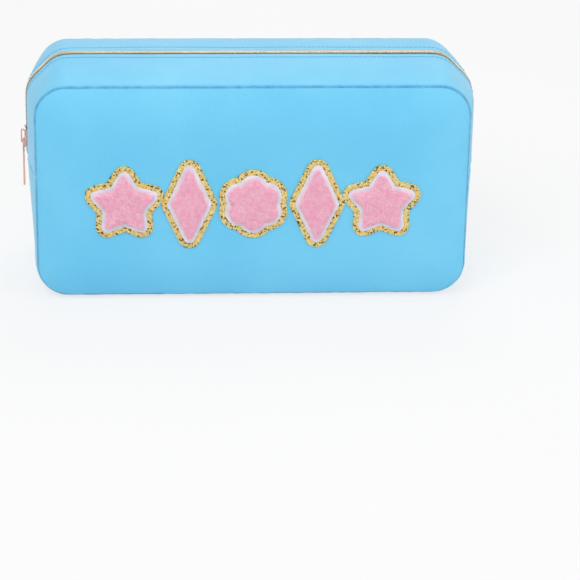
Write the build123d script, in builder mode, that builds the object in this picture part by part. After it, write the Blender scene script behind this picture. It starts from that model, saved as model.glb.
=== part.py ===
# Soft zipped case for a set of game tiles: two crowned panels joined by a gusset that
# carries a coil zip over the top and down both sides, with five sewn patches in front.
# X runs along the length, -Y is the front and +Z is up. The origin is the middle of the
# face that the case stands on. Millimetres.
from build123d import *
from math import ceil, cos, degrees, radians, sin, sqrt
import os

os.makedirs("parts", exist_ok=True)

# Body of the case, measured along its seams
length = 268.0  # left seam to right seam
height = 137.0  # bottom seam to top seam
depth = 98.0  # front seam to back seam
corner_radius = 20.0  # of the panels' seam
zip_dome = 6.0  # rise of the zip gusset's middle above its seams
foot_dome = 2.6  # the same under the case
foot_flat = 0.8  # how far the weight of the case flattens the foot
zip_drop = 58.0  # top seam down to the cross seams

# Cloth layers
shell = 1.4  # folded nylon with its backing
lining = 0.6
tape = 0.6
layer_gap = 0.1  # air between one layer and the next
binding_width = 6.0  # seam allowance inside, with its binding
binding_thickness = 1.6

# Crown of the panels: distance in from the seam, and height there
crown_steps = ((0.0, 0.0), (5.0, 2.2), (10.0, 3.8), (16.0, 5.1), (23.0, 6.0), (31.0, 6.5))
cloth_step = 15.0  # the gusset's curve is drawn in straight steps of about this length

# Mouth: the middle of the zip gusset, which folds out on a line near each panel
ledge = 5.0  # cloth that stays with the panel
fold_gap = 0.3
mouth_end_gap = 0.3

# Zip
slot = 7.2  # between the two folded edges of the nylon
tape_width = 14.0  # from the middle of the chain
tape_parting = 2.7  # between the two tapes, under the chain
lining_opening = 13.0  # between the two edges of the lining
chain_width = 5.6
coil_height = 2.2
coil_seat = 0.05  # above the tape
cord_width = 1.0  # the sewn edge of a coil
tooth_pitch = 2.1  # along one coil
tooth_gap = 0.15  # between one tooth and the next of the other coil
tooth_reach = 1.4  # past the middle of the chain
tooth_bevel = 0.6
parted_reach = 1.4  # what the teeth beside the wedge keep clear of, from the middle

# Slider, and how high it stands above the end of the zip
slider_length = 13.0
slider_width = 8.8  # at the wide end
slider_waist = 7.0  # at the narrow end
slider_rounding = 1.4
slider_plate = 0.8
slider_clearance = 0.2
flange = 0.45
wedge_width = 2.2
wedge_length = 5.5
wedge_shoulder = 1.8  # where it starts to narrow
slider_stand = 3.0
bail_width = 2.2
bail_length = 8.6
bail_wall = 0.8
pin_radius = 0.6
pin_clearance = 0.2
tab_length = 30.0
tab_width = 7.0
tab_neck = 5.0  # width at the pin
tab_thickness = 1.0
tab_rounding = 2.3  # of its free end
tab_window = 5.6  # length of the fork's opening, from the pin
tab_play = 0.3  # between the fork and each side of the bail

# Patches
star_points = 5
star_radius = 20.2  # tips of the pile, as are the lozenge's and the flower's sizes
star_waist = 11.4
lozenge_width = 22.4
lozenge_height = 49.0
petal_count = 6
petal_radius = 6.7
petal_reach = 9.6  # middle of the flower to the middle of a petal
lozenge_x = 39.4  # from the middle of the row
star_x = 79.4
patch_height = 65.0  # of the row's middle above the foot
glitter_border = 3.5
felt_border = 2.5
glitter_thickness = 0.8
felt_thickness = 0.8
pile_thickness = 2.6
pile_taper = 15.0  # degrees that the pile's sides lean in
point_radius = 1.6  # of the star's and the lozenge's corners

# Places that follow from them
half_length = length / 2
half_depth = depth / 2
base_z = foot_dome - foot_flat
top_z = base_z + height
corner_x = half_length - corner_radius
upper_corner_z = top_z - corner_radius
lower_corner_z = base_z + corner_radius
zip_end_z = top_z - zip_drop
side_run = upper_corner_z - zip_end_z
tape_top = shell + layer_gap
lining_top = tape_top + tape + layer_gap
lining_floor = lining_top + lining
panel_crown = crown_steps[-1][1]
ledge_fold_y = -half_depth + ledge - shell / 2
mouth_fold_y = ledge_fold_y + shell + fold_gap

left_corner = Axis((-corner_x, 0, upper_corner_z), (0, -1, 0))
left_foot = Axis((-corner_x, 0, lower_corner_z), (0, 1, 0))
top_start = Plane((-corner_x, 0, top_z), x_dir=(0, 1, 0), z_dir=(1, 0, 0))
foot_start = Plane((-corner_x, 0, base_z), x_dir=(0, -1, 0), z_dir=(1, 0, 0))


def side_plane(z):
    """Section plane across the left side at height z, its local y pointing out."""
    return Plane((-half_length, 0, z), x_dir=(0, 1, 0), z_dir=(0, 0, 1))


def surface(y, dome, down):
    """Height above the seam line of the face that lies down below the gusset's outside."""
    radius = (half_depth**2 + dome**2) / (2 * dome)
    return dome - radius + sqrt((radius - down) ** 2 - y**2)


def cloth(dome, start, end, down, thickness, fold=None):
    """Section of one cloth layer from y = start to end, its edge at fold rounded over."""
    steps = ceil((end - start) / cloth_step)
    places = [start + (end - start) * step / steps for step in range(steps + 1)]
    outer = [(y, surface(y, dome, down)) for y in places]
    inner = [(y, surface(y, dome, down + thickness)) for y in places]
    with BuildSketch() as section:
        with BuildLine():
            Polyline(*outer, *reversed(inner), close=True)
        make_face()
        if fold is not None:
            with Locations((fold, surface(fold, dome, down + thickness / 2))):
                Circle(thickness / 2)
    return section.sketch


def left_side_and_corner(section):
    """A layer of the zip gusset from the cross seam up the left side and round the corner."""
    with BuildPart() as layer:
        with BuildSketch(side_plane(zip_end_z)):
            add(section)
        extrude(amount=side_run)
        with BuildSketch(top_start):
            add(section)
        revolve(axis=left_corner, revolution_arc=90)
    return layer.part


def mouth_layer(section):
    """A layer of the front mouth strip, between the two upper corners."""
    with BuildPart() as layer:
        with BuildSketch(top_start.offset(mouth_end_gap)):
            add(section)
        extrude(amount=2 * (corner_x - mouth_end_gap))
    return layer.part


def gusset_foot(down, thickness, end_y):
    """A layer of the bottom gusset, from cross seam to cross seam."""
    tall = cloth(zip_dome, -end_y, end_y, down, thickness)
    low = cloth(foot_dome, -end_y, end_y, down, thickness)
    with BuildPart() as layer:
        with BuildSketch(side_plane(zip_end_z - layer_gap)):
            add(tall)
        with BuildSketch(side_plane(lower_corner_z)):
            add(low)
        loft(ruled=True)
        with BuildSketch(side_plane(lower_corner_z)):
            add(low)
        revolve(axis=left_foot, revolution_arc=-90)
        with BuildSketch(foot_start):
            add(low)
        extrude(amount=corner_x)
        mirror(about=Plane.YZ)
    return layer.part


def crowned_panel(inset, thickness, inner_y):
    """A front panel layer: its seam is inset by this much and its edge starts at inner_y."""
    def pillow(y):
        with BuildPart() as solid:
            for step, crown in crown_steps:
                with BuildSketch(Plane.XZ.offset(-y + crown)):
                    with Locations((0, base_z + height / 2)):
                        trim = 2 * (step + inset)
                        RectangleRounded(length - trim, height - trim, corner_radius - inset)
            loft(ruled=True)
        return solid.part

    with BuildPart() as layer:
        with BuildSketch(Plane.XZ.offset(-inner_y)):
            with Locations((0, base_z + height / 2)):
                RectangleRounded(length - 2 * inset, height - 2 * inset, corner_radius - inset)
        extrude(amount=thickness)
        add(pillow(inner_y - thickness))
        add(pillow(inner_y), mode=Mode.SUBTRACT)
    return layer.part


def front_patch_plane(x, out):
    """Plane on the front panel's flat middle, facing out, this far above the cloth."""
    face_y = -(half_depth + shell + panel_crown + out)
    return Plane((x, face_y, patch_height), x_dir=(1, 0, 0), z_dir=(0, -1, 0))


def star():
    """Rounded points, one of them up."""
    tips = []
    for tip in range(star_points):
        point = radians(90 + 360 * tip / star_points)
        valley = radians(90 + 360 * (tip + 0.5) / star_points)
        tips.append((star_radius * cos(point), star_radius * sin(point)))
        tips.append((star_waist * cos(valley), star_waist * sin(valley)))
    with BuildSketch() as shape:
        with BuildLine():
            Polyline(*tips, close=True)
        make_face()
        fillet(shape.vertices(), point_radius)
    return shape.sketch


def lozenge():
    """A tall rounded lozenge."""
    half_width = lozenge_width / 2
    half_height = lozenge_height / 2
    with BuildSketch() as shape:
        with BuildLine():
            Polyline((half_width, 0), (0, half_height), (-half_width, 0), (0, -half_height), close=True)
        make_face()
        fillet(shape.vertices(), point_radius)
    return shape.sketch


def flower():
    """Round petals about a middle."""
    with BuildSketch() as shape:
        Circle(petal_reach)
        with PolarLocations(petal_reach, petal_count, start_angle=90):
            Circle(petal_radius)
    return shape.sketch


# One tooth of the front coil in section: y, and height above the seam line
coil_low = zip_dome - tape_top + coil_seat
coil_top = coil_low + coil_height
chain_edge = chain_width / 2
cord_edge = chain_edge - cord_width
corner_teeth = round((corner_radius + zip_dome) * radians(90) / tooth_pitch)
corner_step = 90 / corner_teeth
gap_angle = degrees(tooth_gap / (corner_radius + zip_dome))
side_teeth = round(side_run / tooth_pitch)
side_step = side_run / side_teeth
mouth_teeth = round(2 * corner_x / tooth_pitch)
mouth_step = 2 * corner_x / mouth_teeth


def tooth(coil_side, reach):
    """Section of a tooth whose nose reaches past the chain's middle, -1 front or 1 back."""
    rear = coil_side * (cord_edge + cord_width / 2)
    nose = -coil_side * reach
    bevel = -coil_side * tooth_bevel
    with BuildSketch() as section:
        with BuildLine():
            Polyline(
                (rear, coil_low),
                (nose, coil_low),
                (nose, coil_top - tooth_bevel),
                (nose - bevel, coil_top),
                (rear, coil_top),
                close=True,
            )
        make_face()
    return section.sketch


def coil_cord(coil_side):
    """Section of the sewn edge that carries the teeth."""
    with BuildSketch() as section:
        with Locations((coil_side * (cord_edge + cord_width / 2), (coil_low + coil_top) / 2)):
            Rectangle(cord_width, coil_height)
    return section.sketch


def corner_plane(angle):
    """Section plane round the upper left corner, angle degrees from the top."""
    out = Vector(-sin(radians(angle)), 0, cos(radians(angle)))
    along = Vector(cos(radians(angle)), 0, sin(radians(angle)))
    middle = Vector(-corner_x, 0, upper_corner_z)
    return Plane(middle + out * corner_radius, x_dir=(0, 1, 0), z_dir=along)


def left_coil(coil_side, wedge_tip_z):
    """A coil from the left upper corner to the cross seam, its teeth parted below the tip."""
    shift = 0.5 if coil_side < 0 else 0.0
    meshed = tooth(coil_side, tooth_reach)
    parted = tooth(coil_side, -parted_reach)
    angles = [(k + shift) * corner_step + gap_angle / 2 for k in range(corner_teeth)]
    drops = [(k + shift + 0.5) * side_step - tooth_gap / 2 for k in range(side_teeth)]
    low_places = [upper_corner_z - drop for drop in drops]
    with BuildPart() as coil:
        with BuildSketch(corner_plane(gap_angle / 2)):
            add(coil_cord(coil_side))
        revolve(axis=left_corner, revolution_arc=90 - gap_angle / 2)
        with BuildSketch(*[corner_plane(angle) for angle in angles]):
            add(meshed)
        revolve(axis=left_corner, revolution_arc=corner_step / 2 - gap_angle)
        with BuildSketch(side_plane(zip_end_z)):
            add(coil_cord(coil_side))
        extrude(amount=side_run)
        for shape, places in (
            (meshed, [z for z in low_places if z >= wedge_tip_z]),
            (parted, [z for z in low_places if zip_end_z <= z < wedge_tip_z]),
        ):
            if places:
                with BuildSketch(*[side_plane(z) for z in places]):
                    add(shape)
                extrude(amount=side_step / 2 - tooth_gap)
    return coil.part


def mouth_coil(coil_side):
    """The coil of a mouth strip, from one upper corner to the other."""
    shift = 0.0 if coil_side < 0 else 0.5
    with BuildPart() as coil:
        with BuildSketch(top_start.offset(tooth_gap / 2)):
            add(coil_cord(coil_side))
        extrude(amount=2 * corner_x - tooth_gap)
        places = [(k + shift) * mouth_step + tooth_gap / 2 for k in range(mouth_teeth)]
        with BuildSketch(*[top_start.offset(place) for place in places]):
            add(tooth(coil_side, tooth_reach))
        extrude(amount=mouth_step / 2 - tooth_gap)
    return coil.part


# Shell
with BuildPart() as front_panel:
    add(crowned_panel(0, shell, -half_depth))

with BuildPart() as back_panel:
    mirror(front_panel.part, about=Plane.XZ)

seam_y = -half_depth + layer_gap
side_cloth = cloth(zip_dome, seam_y, -slot / 2, 0, shell)
ledge_cloth = cloth(zip_dome, seam_y, ledge_fold_y, 0, shell, fold=ledge_fold_y)

with BuildPart() as front_zip_gusset:
    add(left_side_and_corner(side_cloth))
    with BuildSketch(top_start):
        add(ledge_cloth)
    extrude(amount=corner_x)
    mirror(about=Plane.YZ)

with BuildPart() as back_zip_gusset:
    mirror(front_zip_gusset.part, about=Plane.XZ)

with BuildPart() as bottom_gusset:
    add(gusset_foot(0, shell, half_depth - layer_gap))
    split(bisect_by=Plane.XY, keep=Keep.TOP)

with BuildPart() as front_mouth_strip:
    add(mouth_layer(cloth(zip_dome, mouth_fold_y, -slot / 2, 0, shell, fold=mouth_fold_y)))

with BuildPart() as back_mouth_strip:
    mirror(front_mouth_strip.part, about=Plane.XZ)

# Lining
lining_inset = shell + 2 * layer_gap
lining_y = seam_y + lining

with BuildPart() as front_lining:
    add(crowned_panel(lining_inset, lining, lining_y))

with BuildPart() as back_lining:
    mirror(front_lining.part, about=Plane.XZ)

with BuildPart() as front_zip_lining:
    add(left_side_and_corner(cloth(zip_dome, lining_y + layer_gap, -lining_opening / 2, lining_top, lining)))
    with BuildSketch(top_start):
        add(cloth(zip_dome, lining_y + layer_gap, ledge_fold_y, lining_top, lining))
    extrude(amount=corner_x)
    mirror(about=Plane.YZ)

with BuildPart() as back_zip_lining:
    mirror(front_zip_lining.part, about=Plane.XZ)

with BuildPart() as bottom_lining:
    add(gusset_foot(lining_top, lining, -lining_y - layer_gap))

with BuildPart() as front_mouth_lining:
    add(mouth_layer(cloth(zip_dome, mouth_fold_y, -lining_opening / 2, lining_top, lining)))

with BuildPart() as back_mouth_lining:
    mirror(front_mouth_lining.part, about=Plane.XZ)

# Bound seam allowances, just inside the panels' lining
binding_inset = lining_floor + layer_gap

with BuildPart() as front_seam_binding:
    with BuildSketch(Plane.XZ.offset(-lining_y - layer_gap - binding_thickness)):
        with Locations((0, base_z + height / 2)):
            for inset, mode in ((binding_inset, Mode.ADD), (binding_inset + binding_width, Mode.SUBTRACT)):
                RectangleRounded(length - 2 * inset, height - 2 * inset, corner_radius - inset, mode=mode)
    extrude(amount=binding_thickness)

with BuildPart() as back_seam_binding:
    mirror(front_seam_binding.part, about=Plane.XZ)

# Zip tape
tape_cloth = cloth(zip_dome, -tape_width, -tape_parting / 2, tape_top, tape)

with BuildPart() as front_left_tape:
    add(left_side_and_corner(tape_cloth))

with BuildPart() as back_left_tape:
    mirror(front_left_tape.part, about=Plane.XZ)

with BuildPart() as front_right_tape:
    mirror(front_left_tape.part, about=Plane.YZ)

with BuildPart() as back_right_tape:
    mirror(front_right_tape.part, about=Plane.XZ)

with BuildPart() as front_mouth_tape:
    add(mouth_layer(tape_cloth))

with BuildPart() as back_mouth_tape:
    mirror(front_mouth_tape.part, about=Plane.XZ)

# Zip chain
slider_low_z = zip_end_z + slider_stand
slider_z = slider_low_z + slider_length / 2
wedge_tip_z = slider_low_z + wedge_length

with BuildPart() as front_mouth_coil:
    add(mouth_coil(-1))

with BuildPart() as back_mouth_coil:
    add(mouth_coil(1))

with BuildPart() as front_left_coil:
    add(left_coil(-1, wedge_tip_z))

with BuildPart() as back_left_coil:
    add(left_coil(1, wedge_tip_z))

with BuildPart() as front_right_coil:
    add(left_coil(1, zip_end_z).rotate(Axis.Z, 180))

with BuildPart() as back_right_coil:
    add(left_coil(-1, zip_end_z).rotate(Axis.Z, 180))


def slider_plane(out):
    """Plane facing out of the left side, this far above the gusset's crown line."""
    return Plane((-half_length - zip_dome - out, 0, slider_z), x_dir=(0, -1, 0), z_dir=(-1, 0, 0))


# Slider: heights above the gusset's crown line
upper_low = coil_top - zip_dome + slider_clearance
upper_top = upper_low + slider_plate
flange_low = -tape_top + 2 * slider_clearance
lower_top = -tape_top - tape - slider_clearance
pin_out = upper_top + pin_clearance + pin_radius
bail_inside = pin_out + pin_radius + pin_clearance
bail_top = bail_inside + bail_wall
pin_z = slider_z - bail_length / 2 + bail_wall + pin_clearance + pin_radius

with BuildSketch() as slider_outline:
    with BuildLine():
        half_slider = slider_length / 2
        Polyline(
            (-slider_width / 2, -half_slider),
            (slider_width / 2, -half_slider),
            (slider_width / 2, 0),
            (slider_waist / 2, half_slider),
            (-slider_waist / 2, half_slider),
            (-slider_width / 2, 0),
            close=True,
        )
    make_face()
    fillet(slider_outline.vertices(), slider_rounding)

with BuildPart() as slider_body:
    for low in (lower_top - slider_plate, upper_low):
        with BuildSketch(slider_plane(low)):
            add(slider_outline.sketch)
        extrude(amount=slider_plate)
    flange_inside = chain_edge + tooth_gap
    with BuildSketch(slider_plane(flange_low)):
        with Locations((flange_inside + flange / 2, 0), (-flange_inside - flange / 2, 0)):
            Rectangle(flange, slider_length - 2 * slider_rounding)
    extrude(amount=upper_low - flange_low)
    wedge_foot = slider_clearance - half_slider
    with BuildSketch(slider_plane(lower_top)):
        with BuildLine():
            Polyline(
                (-wedge_width / 2, wedge_foot),
                (wedge_width / 2, wedge_foot),
                (wedge_width / 2, wedge_foot + wedge_shoulder),
                (0, wedge_length - half_slider - slider_clearance),
                (-wedge_width / 2, wedge_foot + wedge_shoulder),
                close=True,
            )
        make_face()
    extrude(amount=upper_low - lower_top)

bail_plane = Plane((-half_length - zip_dome, 0, slider_z), x_dir=(-1, 0, 0), z_dir=(0, 1, 0))

with BuildPart() as slider_bail:
    with BuildSketch(bail_plane) as arch:
        with Locations(((upper_top + bail_top) / 2, 0)):
            Rectangle(bail_top - upper_top, bail_length)
        fillet(arch.vertices().group_by(Axis.X)[-1], bail_wall)
        with Locations(((upper_top + bail_inside) / 2, 0)):
            Rectangle(bail_inside - upper_top, bail_length - 2 * bail_wall, mode=Mode.SUBTRACT)
    extrude(amount=bail_width / 2, both=True)

# Pull tab: a forked plate whose cross pin is caught under the bail
pin_drop = pin_z - slider_z
window_width = bail_width + 2 * tab_play

with BuildPart() as pull_tab:
    with BuildSketch(slider_plane(pin_out - tab_thickness / 2)) as blade:
        with BuildLine():
            Polyline(
                (-tab_neck / 2, pin_drop),
                (tab_neck / 2, pin_drop),
                (tab_width / 2, pin_drop - tab_length),
                (-tab_width / 2, pin_drop - tab_length),
                close=True,
            )
        make_face()
        fillet(blade.vertices().group_by(Axis.Y)[0], tab_rounding)
        with Locations((0, pin_drop - tab_window / 2)):
            Rectangle(window_width, tab_window, mode=Mode.SUBTRACT)
    extrude(amount=tab_thickness)
    with BuildSketch(bail_plane):
        with Locations((pin_out, pin_drop)):
            Circle(pin_radius)
    extrude(amount=tab_neck / 2, both=True)

# Patches, each sewn on in three layers
patches = (
    ("left_star", star(), -star_x),
    ("left_lozenge", lozenge(), -lozenge_x),
    ("flower", flower(), 0),
    ("right_lozenge", lozenge(), lozenge_x),
    ("right_star", star(), star_x),
)
patch_layers = (
    ("glitter", felt_border + glitter_border, 0, glitter_thickness),
    ("felt", felt_border, glitter_thickness, felt_thickness),
    ("pile", 0, glitter_thickness + felt_thickness, pile_thickness),
)

pieces = {
    "front_panel": front_panel,
    "back_panel": back_panel,
    "bottom_gusset": bottom_gusset,
    "front_zip_gusset": front_zip_gusset,
    "back_zip_gusset": back_zip_gusset,
    "front_mouth_strip": front_mouth_strip,
    "back_mouth_strip": back_mouth_strip,
    "front_lining": front_lining,
    "back_lining": back_lining,
    "bottom_lining": bottom_lining,
    "front_zip_lining": front_zip_lining,
    "back_zip_lining": back_zip_lining,
    "front_mouth_lining": front_mouth_lining,
    "back_mouth_lining": back_mouth_lining,
    "front_seam_binding": front_seam_binding,
    "back_seam_binding": back_seam_binding,
    "front_left_tape": front_left_tape,
    "back_left_tape": back_left_tape,
    "front_right_tape": front_right_tape,
    "back_right_tape": back_right_tape,
    "front_mouth_tape": front_mouth_tape,
    "back_mouth_tape": back_mouth_tape,
    "front_left_coil": front_left_coil,
    "back_left_coil": back_left_coil,
    "front_right_coil": front_right_coil,
    "back_right_coil": back_right_coil,
    "front_mouth_coil": front_mouth_coil,
    "back_mouth_coil": back_mouth_coil,
    "slider_body": slider_body,
    "slider_bail": slider_bail,
    "pull_tab": pull_tab,
}

for motif, outline, patch_x in patches:
    for layer, border, out, thickness in patch_layers:
        with BuildPart() as patch:
            with BuildSketch(front_patch_plane(patch_x, out)):
                add(outline)
                if border:
                    offset(amount=border)
            extrude(amount=thickness, taper=pile_taper if layer == "pile" else 0)
        pieces[f"{motif}_{layer}"] = patch

for name, piece in pieces.items():
    piece.part.label = name
    export_step(piece.part, f"parts/{name}.step")
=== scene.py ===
# %% [markdown]
# # A soft zipped game case
# The real object is a box-shaped pouch of padded nylon: two crowned panels, a gusset that runs
# round them, a coil zip over the top and down both sides, and a row of sewn patches in front.
# The rigid model already gives every place, so each cell below dresses one piece of it, and
# nothing is placed by eye. All lengths are in metres.

import math

import bmesh
import bpy
import numpy as np
from mathutils import Matrix, Vector, noise


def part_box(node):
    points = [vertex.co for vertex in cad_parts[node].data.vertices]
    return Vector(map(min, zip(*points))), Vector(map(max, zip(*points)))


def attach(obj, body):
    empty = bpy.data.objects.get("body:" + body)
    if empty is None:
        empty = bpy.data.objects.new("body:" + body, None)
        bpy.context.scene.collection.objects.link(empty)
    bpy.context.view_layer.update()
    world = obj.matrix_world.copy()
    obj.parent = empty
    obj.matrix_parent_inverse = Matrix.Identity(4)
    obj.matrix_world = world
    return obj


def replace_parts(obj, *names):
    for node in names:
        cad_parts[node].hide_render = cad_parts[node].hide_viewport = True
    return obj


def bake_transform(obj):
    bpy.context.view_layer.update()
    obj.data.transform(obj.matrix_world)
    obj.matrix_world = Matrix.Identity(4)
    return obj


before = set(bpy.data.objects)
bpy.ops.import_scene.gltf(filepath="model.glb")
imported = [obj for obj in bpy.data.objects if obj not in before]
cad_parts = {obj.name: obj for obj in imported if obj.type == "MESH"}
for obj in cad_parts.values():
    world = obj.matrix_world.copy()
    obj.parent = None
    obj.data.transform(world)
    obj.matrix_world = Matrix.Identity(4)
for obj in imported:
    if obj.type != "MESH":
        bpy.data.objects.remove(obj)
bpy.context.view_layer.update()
MM = 0.001

# %% [markdown]
# Seams are the lines that a sewer works from, so the case is measured along them: half its
# length and depth, its lowest and highest seam, and the places where the zip ends. They are
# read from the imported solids. Only the corner radius, the swell of the foot and the thickness of
# the shell and of its nylon are given here.

# %% Places along the seams
panel_low, panel_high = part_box("front_panel")
gusset_low, gusset_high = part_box("front_zip_gusset")
HALF_LENGTH = panel_high.x
HALF_DEPTH = -panel_high.y
TOP = panel_high.z
BASE = panel_low.z
CROWN = -panel_low.y - HALF_DEPTH
ZIP_DOME = gusset_high.z - TOP
FOOT_DOME = 2.6 * MM
ZIP_END = gusset_low.z
CORNER = 20 * MM
SHELL = 1.4 * MM
NYLON = 0.9 * MM
CORNER_X = HALF_LENGTH - CORNER
SIDE = TOP - BASE - 2 * CORNER
QUARTER = CORNER * math.pi / 2
HALF_LOOP = 2 * CORNER_X + 2 * QUARTER + SIDE
CROSS_SEAM = CORNER_X + QUARTER + TOP - CORNER - ZIP_END
MIDDLE_Z = (TOP + BASE) / 2
HALF_HEIGHT = (TOP - BASE) / 2
print("seam box", HALF_LENGTH, HALF_DEPTH, BASE, TOP, "crown", CROWN, "zip to", ZIP_END)

# %% [markdown]
# Node trees are wired here with one small class. Arithmetic on a Field adds Math nodes, so
# a material's maths reads like a formula, and every other node comes from Graph.node.


# %% A short way to wire nodes
class Field:
    """A socket of a node tree; arithmetic on it adds Math nodes."""

    def __init__(self, graph, socket):
        self.graph = graph
        self.socket = socket

    def math(self, operation, *others):
        inputs = dict(enumerate((self, *others)))
        return self.graph.node("ShaderNodeMath", {"operation": operation}, inputs)

    def of(self, output):
        return Field(self.graph, self.socket.node.outputs[output])

    def __add__(self, other):
        return self.math("ADD", other)

    def __mul__(self, other):
        return self.math("MULTIPLY", other)


class Graph:
    """A node tree that is filled by calls."""

    def __init__(self, tree):
        self.tree = tree
        self.tree.nodes.clear()

    def node(self, kind, settings=None, inputs=None):
        """Adds a node: its settings first, then the values or links of its sockets."""
        made = self.tree.nodes.new(kind)
        for name, value in (settings or {}).items():
            setattr(made, name, value)
        for name, value in (inputs or {}).items():
            if isinstance(value, Field):
                self.tree.links.new(value.socket, made.inputs[name])
            else:
                made.inputs[name].default_value = value
        shown = [output for output in made.outputs if output.enabled]
        return Field(self, shown[0]) if shown else made

    def mix(self, factor, first, second):
        """One colour turning into another as factor goes from 0 to 1."""
        sockets = {0: factor, 6: first, 7: second}
        return self.node("ShaderNodeMix", {"data_type": "RGBA"}, sockets)

    def noise(self, where, scale, detail=2.0, roughness=0.5):
        """A smooth random pattern about 0.5 at these coordinates."""
        sockets = {"Vector": where, "Scale": scale, "Detail": detail, "Roughness": roughness}
        return self.node("ShaderNodeTexNoise", None, sockets)

    def spread(self, value, low, high, to_low=0.0, to_high=1.0):
        """A value's range low to high turned into to_low to to_high, and kept inside it."""
        sockets = {"Value": value, 1: low, 2: high, 3: to_low, 4: to_high}
        return self.node("ShaderNodeMapRange", {"clamp": True}, sockets)


def finish_of(name, build, **fixed):
    """A material whose build function returns what varies: a dict of socket names and Fields."""
    material = bpy.data.materials.new(name)
    material.use_nodes = True
    graph = Graph(material.node_tree)
    place = graph.node("ShaderNodeTexCoord").of("Object")
    varying = build(graph, place)
    bsdf = graph.node("ShaderNodeBsdfPrincipled", None, {**fixed, **varying})
    graph.node("ShaderNodeOutputMaterial", None, {"Surface": bsdf})
    return material


def bump(graph, height, depth, strength=1.0):
    """A Normal that makes a height field of this real depth show."""
    sockets = {"Height": height, "Distance": depth, "Strength": strength}
    return graph.node("ShaderNodeBump", None, sockets)


def paint(red, green, blue):
    """A colour written as a screen shows it, turned into the linear one that nodes take."""
    linear = [
        part / 255 / 12.92 if part / 255 <= 0.04045 else ((part / 255 + 0.055) / 1.055) ** 2.4
        for part in (red, green, blue)
    ]
    return (*linear, 1.0)


# %% [markdown]
# The shell is a fine plain weave of nylon. Its threads are about 0.4 mm apart, so they show only
# close up, as a bump that follows the cloth's own map. From a step away it is the soft satin
# light and a slow drift of the blue that tell it is cloth.

# %% Nylon
THREAD = 0.42 * MM


def weave(graph, pitch, depth):
    """Threads that cross over and under, on the piece's own map, in real size."""
    cloth_map = graph.node("ShaderNodeUVMap", {"uv_map": "cloth"})
    parts = graph.node("ShaderNodeSeparateXYZ", None, {0: cloth_map})
    turns = 2 * math.pi / pitch
    along = (parts * turns).math("SINE")
    across = (parts.of("Y") * turns).math("SINE")
    return bump(graph, along * across, depth, 0.5)


def nylon(graph, place):
    drift = graph.spread(graph.noise(place, 14, 3), 0.3, 0.7)
    fine = graph.noise(place, 900, 2)
    colour = graph.mix(drift, paint(98, 198, 241), paint(116, 209, 246))
    colour = graph.mix(graph.spread(fine, 0.3, 0.7, 0, 0.25), colour, paint(132, 217, 249))
    # each cloth holds its distance from the panel's seam; painted shade darkens the groove beside the
    # seam, broken up by a noise
    from_seam = graph.node("ShaderNodeAttribute", {"attribute_name": "from_seam"}).of("Fac")
    painted_shade_breakup = graph.spread(graph.noise(place, 260, 2), 0.35, 0.65, 0.45, 0.8)
    painted_seam_shade = graph.spread(from_seam, 0.3 * MM, 1.7 * MM, 1, 0) * painted_shade_breakup
    return {
        # painted shade: a deeper blue mixed in beside the seam
        "Base Color": graph.mix(painted_seam_shade, colour, paint(48, 138, 190)),
        "Roughness": graph.spread(graph.noise(place, 60, 3), 0.3, 0.7, 0.44, 0.54),
        "Normal": weave(graph, THREAD, 0.04 * MM),
    }


nylon_finish = finish_of("nylon", nylon, **{"Sheen Weight": 0.25, "Sheen Roughness": 0.4})


def taffeta(graph, place):
    drift = graph.spread(graph.noise(place, 30, 3), 0.3, 0.7)
    return {
        "Base Color": graph.mix(drift, paint(70, 158, 205), paint(88, 176, 220)),
        "Roughness": graph.spread(graph.noise(place, 80, 2), 0.3, 0.7, 0.34, 0.48),
        "Normal": weave(graph, 0.6 * MM, 0.05 * MM),
    }


lining_finish = finish_of("lining", taffeta, **{"Sheen Weight": 0.2})


def grosgrain(graph, place):
    cloth_map = graph.node("ShaderNodeUVMap", {"uv_map": "cloth"})
    along = graph.node("ShaderNodeSeparateXYZ", None, {0: cloth_map})
    ribs = (along * (2 * math.pi / (0.9 * MM))).math("SINE")
    colour = graph.mix(graph.spread(ribs, -1, 1), paint(60, 146, 196), paint(86, 176, 222))
    return {
        "Base Color": colour,
        "Roughness": graph.spread(graph.noise(place, 300, 2), 0.3, 0.7, 0.55, 0.75),
        "Normal": bump(graph, ribs, 0.1 * MM, 0.7),
    }


binding_finish = finish_of("binding", grosgrain)


def twill(graph, place):
    cloth_map = graph.node("ShaderNodeUVMap", {"uv_map": "cloth"})
    parts = graph.node("ShaderNodeSeparateXYZ", None, {0: cloth_map})
    ribs = ((parts + parts.of("Y")) * (2 * math.pi / (0.7 * MM))).math("SINE")
    colour = graph.mix(graph.spread(ribs, -1, 1), paint(52, 128, 160), paint(84, 170, 204))
    return {
        "Base Color": colour,
        "Roughness": graph.spread(graph.noise(place, 400, 2), 0.3, 0.7, 0.6, 0.8),
        "Normal": bump(graph, ribs, 0.08 * MM, 0.6),
    }


tape_finish = finish_of("zip_tape", twill)


def thread(graph, place):
    plies = graph.noise(place, 2500, 2)
    colour = graph.mix(graph.spread(plies, 0.3, 0.7), paint(70, 174, 222), paint(112, 204, 242))
    return {
        "Base Color": colour,
        "Roughness": graph.spread(plies, 0.3, 0.7, 0.45, 0.65),
        "Normal": bump(graph, plies, 0.1 * MM, 0.6),
    }


thread_finish = finish_of("thread", thread)

# %% [markdown]
# The zip's coil is plastic with a pale champagne metal film, dull where it has rubbed. The
# slider, its bail and its pull are plated in a warmer rose tone and polished.


# %% Metals
def champagne(graph, place):
    rubbed = graph.spread(graph.noise(place, 900, 3), 0.42, 0.66)
    return {
        "Base Color": graph.mix(rubbed, paint(226, 210, 176), paint(190, 176, 150)),
        "Roughness": graph.spread(rubbed, 0, 1, 0.30, 0.48),
        "Metallic": graph.spread(rubbed, 0, 1, 0.85, 0.7),
    }


coil_finish = finish_of("zip_coil", champagne)


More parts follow.
